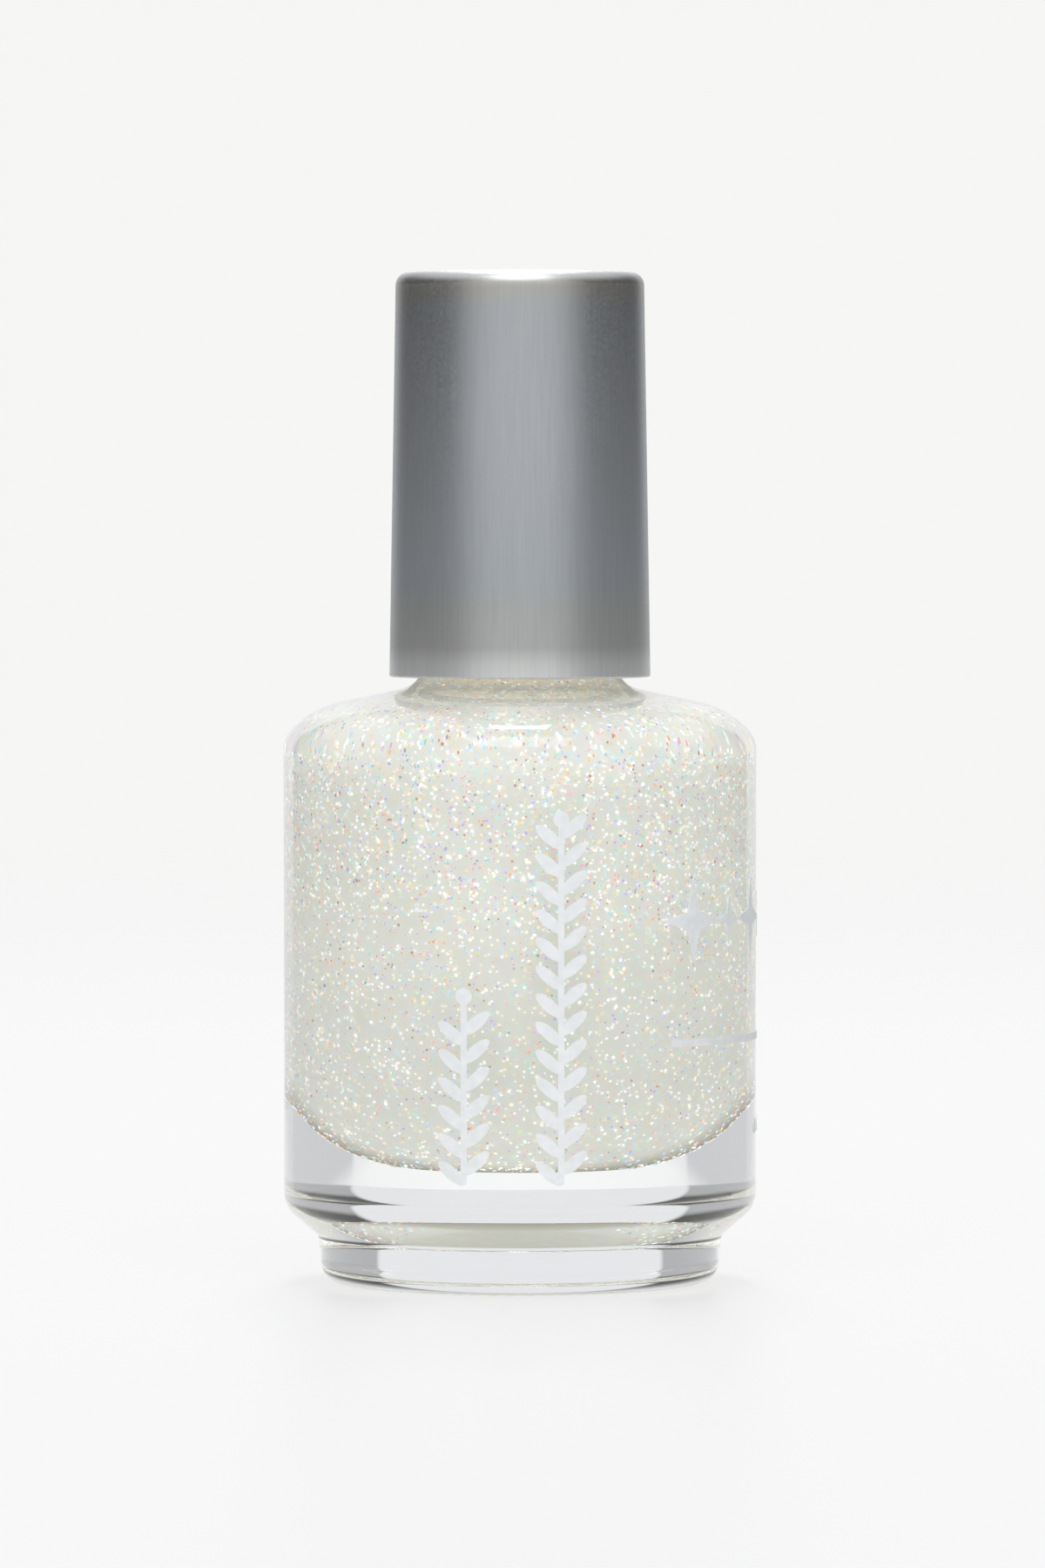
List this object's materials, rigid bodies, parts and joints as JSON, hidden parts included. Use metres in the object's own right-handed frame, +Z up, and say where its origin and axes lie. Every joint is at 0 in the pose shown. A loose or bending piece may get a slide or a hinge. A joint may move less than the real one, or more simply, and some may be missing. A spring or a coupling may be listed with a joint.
{
  "type": "nail polish bottle",
  "caption": "Round clear glass nail polish bottle with a silver screw cap, brush, milky glitter lacquer, mixing balls and printed decoration",
  "frame": {"origin": "Centre of the ring that the bottle stands on, on the table", "axes": "+Z is up, along the axis of the bottle and cap; the front print faces -Y and the side print faces +X"},
  "size_m": [0.0327, 0.0327, 0.07],
  "materials": {
    "clear_glass": "clear fire-polished moulded glass",
    "glitter_lacquer": "milky translucent lacquer full of holographic flakes",
    "white_ink": "opaque white screen-printed ink",
    "ball_steel": "polished stainless steel",
    "seal_foam": "soft white closed-cell foam",
    "silver_cap": "satin silver metallic paint on moulded plastic",
    "inner_plastic": "natural moulded polypropylene",
    "stem_plastic": "smooth moulded polyethylene",
    "staple_metal": "bright metal strip",
    "bristle_nylon": "fine nylon filaments"
  },
  "bodies": {
    "bottle": {"glass_bottle": "clear_glass", "lacquer": "glitter_lacquer", "front_print": "white_ink", "side_print": "white_ink"},
    "seal": {"neck_seal": "seal_foam"},
    "cap": {"overcap": "silver_cap", "inner_cap": "inner_plastic", "brush_stem": "stem_plastic", "brush_staple": "staple_metal", "bristle_tuft": "bristle_nylon"},
    "mixing_balls": {"mixing_ball_1": "ball_steel", "mixing_ball_2": "ball_steel"}
  },
  "joints": [
    {"name": "cap_rise", "type": "slide", "parent": "bottle", "child": "seal", "axis": [0, 0, 1], "range_m": [0, 0.046]},
    {"name": "cap_twist", "type": "hinge", "parent": "seal", "child": "cap", "pos_m": [0, 0, 0.0419], "axis": [0, 0, 1], "range_deg": [0, 7800]},
    {"name": "balls_roll", "type": "hinge", "parent": "bottle", "child": "mixing_balls", "pos_m": [0, 0, 0.0106], "axis": [0, 0, 1], "continuous": true}
  ],
  "couplings": [
    {"joint": "cap_rise", "follows": "cap_twist", "m_per_rad": 0.00033688}
  ]
}
